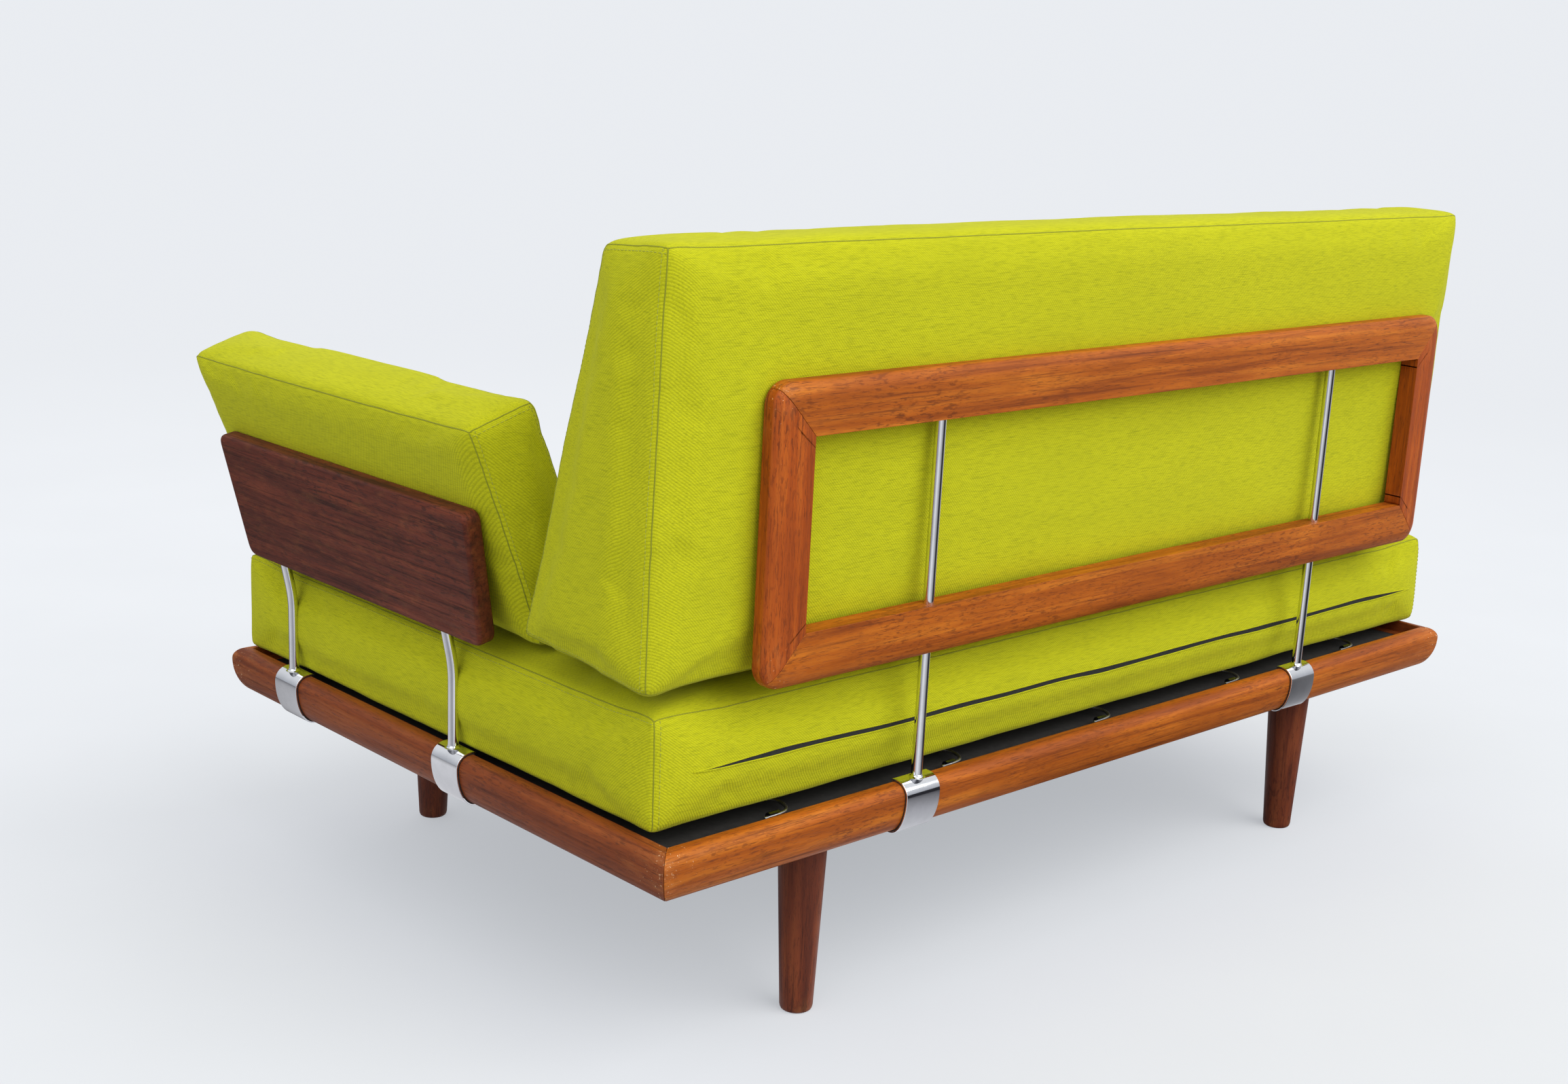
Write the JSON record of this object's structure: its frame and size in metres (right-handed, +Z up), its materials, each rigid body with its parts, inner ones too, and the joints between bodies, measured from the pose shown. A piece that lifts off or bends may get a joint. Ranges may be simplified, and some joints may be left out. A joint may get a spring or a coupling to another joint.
{
  "type": "daybed",
  "caption": "Low daybed: teak rail frame on round tapered legs, boxed seat mattress, and a backrest frame and arm board on chrome rods clipped to the rails, each with a loose cushion.",
  "frame": {"origin": "centre of the bounding box, on the floor under the feet", "axes": "+X along the length towards the arm end, +Y towards the backrest, +Z up from the floor"},
  "size_m": [1.328, 0.7974, 0.782],
  "materials": {
    "teak": "oiled, satin, straight grain",
    "dark_teak": "oiled, darker red-brown with dark streaks",
    "beech": "raw, sanded",
    "black_board": "thin fibreboard, painted black",
    "chrome": "polished chrome plate",
    "steel": "plain drawn and pressed steel",
    "clip_liner": "thin dark matt strip",
    "wool": "lime-green woven wool with a fine twill"
  },
  "bodies": {
    "base": {"bearer_arm_end": "beech", "bearer_open_end": "beech", "corner_block_back_arm": "beech", "corner_block_back_open": "beech", "corner_block_front_arm": "beech", "corner_block_front_open": "beech", "dust_panel": "black_board", "leg_back_arm": "dark_teak", "leg_back_open": "dark_teak", "leg_front_arm": "dark_teak", "leg_front_open": "dark_teak", "leg_plate_back_arm": "steel", "leg_plate_back_open": "steel", "leg_plate_front_arm": "steel", "leg_plate_front_open": "steel", "leg_stud_back_arm": "steel", "leg_stud_back_open": "steel", "leg_stud_front_arm": "steel", "leg_stud_front_open": "steel", "rail_arm_end": "teak", "rail_back": "teak", "rail_front": "teak", "rail_open_end": "teak", "seat_spring_1": "steel", "seat_spring_2": "steel", "seat_spring_3": "steel", "seat_spring_4": "steel", "seat_spring_5": "steel", "spring_clip_back_1": "steel", "spring_clip_back_2": "steel", "spring_clip_back_3": "steel", "spring_clip_back_4": "steel", "spring_clip_back_5": "steel", "spring_clip_front_1": "steel", "spring_clip_front_2": "steel", "spring_clip_front_3": "steel", "spring_clip_front_4": "steel", "spring_clip_front_5": "steel"},
    "backrest": {"back_bottom_rail": "teak", "back_clamp_arm_side": "chrome", "back_clamp_arm_side_liner": "clip_liner", "back_clamp_open_side": "chrome", "back_clamp_open_side_liner": "clip_liner", "back_rod_arm_side": "chrome", "back_rod_open_side": "chrome", "back_stile_arm_side": "teak", "back_stile_open_side": "teak", "back_top_rail": "teak"},
    "armrest": {"arm_board": "dark_teak", "arm_clamp_front": "chrome", "arm_clamp_front_liner": "clip_liner", "arm_clamp_rear": "chrome", "arm_clamp_rear_liner": "clip_liner", "arm_rod_front": "chrome", "arm_rod_rear": "chrome"},
    "mattress": {"seat_mattress": "wool"},
    "back_cushion": {"back_cushion": "wool"},
    "arm_cushion": {"arm_cushion": "wool"}
  },
  "joints": [
    {"name": "backrest_slide", "type": "slide", "parent": "base", "child": "backrest", "axis": [1, 0, 0], "range_m": [-0.24, 0.24]},
    {"name": "armrest_slide", "type": "slide", "parent": "base", "child": "armrest", "axis": [0, 1, 0], "range_m": [-0.05, 0.03]},
    {"name": "mattress_lift", "type": "slide", "parent": "base", "child": "mattress", "axis": [0, 0, 1], "range_m": [0, 0.35]},
    {"name": "back_cushion_lift", "type": "slide", "parent": "mattress", "child": "back_cushion", "axis": [0, 0, 1], "range_m": [0, 0.45]},
    {"name": "arm_cushion_lift", "type": "slide", "parent": "mattress", "child": "arm_cushion", "axis": [0, 0, 1], "range_m": [0, 0.3]}
  ]
}
